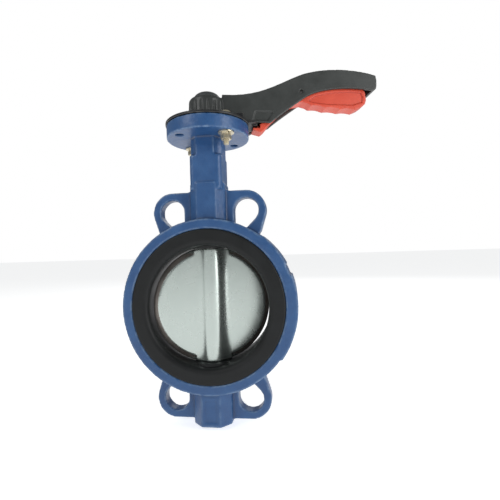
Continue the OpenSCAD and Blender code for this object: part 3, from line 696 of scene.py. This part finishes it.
def paint_node(node, material):
    """Gives a CAD node a material of its own."""
    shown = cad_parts[node]
    shown.data.materials.clear()
    shown.data.materials.append(material)


for node, shape in (("plate_bolts", bolt_shape), ("bolt_washers", washer_shape), ("plate_nuts", nut_shape)):
    piece = piece_from(shape, node + "_made")
    piece = use_tree(piece, parts_on_a_circle, {
        "Count": 2, "Pitch circle radius": bolt_circle, "First angle": bolt_first, "Finish": zinc})
    kept_in_box(piece, node)
    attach(piece, "valve")
    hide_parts(node)

paint_node("spring_washers", zinc)

# ---------------------------------------------------------------------------------------
# Hub cap. A black moulded plastic dome pressed into the top of the hub over the screw.
# Its skin is a fine even grain, a little greyer than the painted hub.
# ---------------------------------------------------------------------------------------
cap_plastic = finish_material(
    "cap_black",
    colour=(0.034, 0.038, 0.038, 1), colour_2=(0.045, 0.050, 0.050, 1),
    edge=(0.09, 0.095, 0.095, 1), hollow=(0.015, 0.016, 0.016, 1),
    roughness=0.40, roughness_2=0.50, bump=0.00003, grain_scale=1500.0,
    mottle_scale=80.0, lumps=0.1, edge_wear_and_highlight_limits=(0.54, 0.7))
cap = rounded_skin("hub_cap", "domed_cap", 0.00045, before=2, after=2)
cap.data.materials.append(cap_plastic)
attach(cap, "rotor")
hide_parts("hub_cap")

# ---------------------------------------------------------------------------------------
# Screw under the cap. It draws the handle down on the stem's square, with a washer under
# its head, and is plated as the plate's bolts are.
# ---------------------------------------------------------------------------------------
paint_node("handle_screw", zinc)
paint_node("screw_washer", zinc)

# ---------------------------------------------------------------------------------------
# Trigger's pin and spring. The pin is a plain drilled-in steel pin, dark from its oil;
# the spring is bright wire, coiled between the trigger and the channel's roof.
# ---------------------------------------------------------------------------------------
pin_steel = finish_material(
    "pin_steel",
    colour=(0.030, 0.030, 0.031, 1), colour_2=(0.045, 0.044, 0.043, 1),
    edge=(0.09, 0.09, 0.088, 1), hollow=(0.01, 0.01, 0.01, 1),
    roughness=0.35, roughness_2=0.5, bump=0.00001, grain_scale=1500.0,
    mottle_scale=200.0, metal=0.8)
spring_wire = finish_material(
    "spring_steel",
    colour=(0.42, 0.42, 0.40, 1), colour_2=(0.50, 0.50, 0.48, 1),
    edge=(0.62, 0.62, 0.60, 1), hollow=(0.12, 0.12, 0.11, 1),
    roughness=0.22, roughness_2=0.34, bump=0.000005, grain_scale=2400.0,
    mottle_scale=300.0, metal=1.0)
paint_node("trigger_pin", pin_steel)
paint_node("trigger_spring", spring_wire)

# ---------------------------------------------------------------------------------------
# Stems. Two turned stainless bars: the upper one drives the disc with its square, the
# lower one only guides it. A spring steel ring keeps the upper one from being blown out.
# ---------------------------------------------------------------------------------------
stem_steel = finish_material(
    "stainless",
    colour=(0.52, 0.51, 0.49, 1), colour_2=(0.60, 0.59, 0.57, 1),
    edge=(0.70, 0.69, 0.67, 1), hollow=(0.20, 0.20, 0.19, 1),
    roughness=0.24, roughness_2=0.36, bump=0.000006, grain_scale=1600.0,
    mottle_scale=160.0, metal=1.0)
for node in ("upper_stem", "lower_stem"):
    paint_node(node, stem_steel)
paint_node("stem_circlip", spring_wire)

# ---------------------------------------------------------------------------------------
# Bushes, washer and seals. Off-white plastic bushes line the stem's bore, a bronze washer
# takes the thrust, and rubber rings seal the stems above and below the disc.
# ---------------------------------------------------------------------------------------
bush_plastic = finish_material(
    "bush_plastic",
    colour=(0.60, 0.58, 0.50, 1), colour_2=(0.68, 0.66, 0.58, 1),
    edge=(0.75, 0.73, 0.66, 1), hollow=(0.36, 0.34, 0.28, 1),
    roughness=0.42, roughness_2=0.55, bump=0.00001, grain_scale=1400.0,
    mottle_scale=90.0)
bronze = finish_material(
    "bronze",
    colour=(0.48, 0.28, 0.11, 1), colour_2=(0.56, 0.35, 0.15, 1),
    edge=(0.70, 0.48, 0.26, 1), hollow=(0.18, 0.09, 0.03, 1),
    roughness=0.28, roughness_2=0.42, bump=0.000008, grain_scale=1400.0,
    mottle_scale=180.0, metal=1.0)
seal_rubber = finish_material(
    "seal_rubber",
    colour=(0.010, 0.010, 0.010, 1), colour_2=(0.016, 0.016, 0.016, 1),
    edge=(0.04, 0.04, 0.04, 1), hollow=(0.004, 0.004, 0.004, 1),
    roughness=0.34, roughness_2=0.46, bump=0.00001, grain_scale=1500.0,
    mottle_scale=120.0)
for node in ("upper_bush", "middle_bush", "lower_bush"):
    paint_node(node, bush_plastic)
paint_node("thrust_washer", bronze)
paint_node("stem_o_rings", seal_rubber)
paint_node("lower_o_ring", seal_rubber)

# ---------------------------------------------------------------------------------------
# Bottom plug. A plated screw plug closes the lower stem's bore under the boss, on a
# red-brown fibre gasket.
# ---------------------------------------------------------------------------------------
gasket_fibre = finish_material(
    "gasket_fibre",
    colour=(0.26, 0.060, 0.035, 1), colour_2=(0.33, 0.085, 0.050, 1),
    edge=(0.40, 0.14, 0.09, 1), hollow=(0.12, 0.02, 0.012, 1),
    roughness=0.65, roughness_2=0.8, bump=0.00003, grain_scale=1300.0,
    mottle_scale=150.0)
paint_node("bottom_plug", zinc)
paint_node("plug_gasket", gasket_fibre)
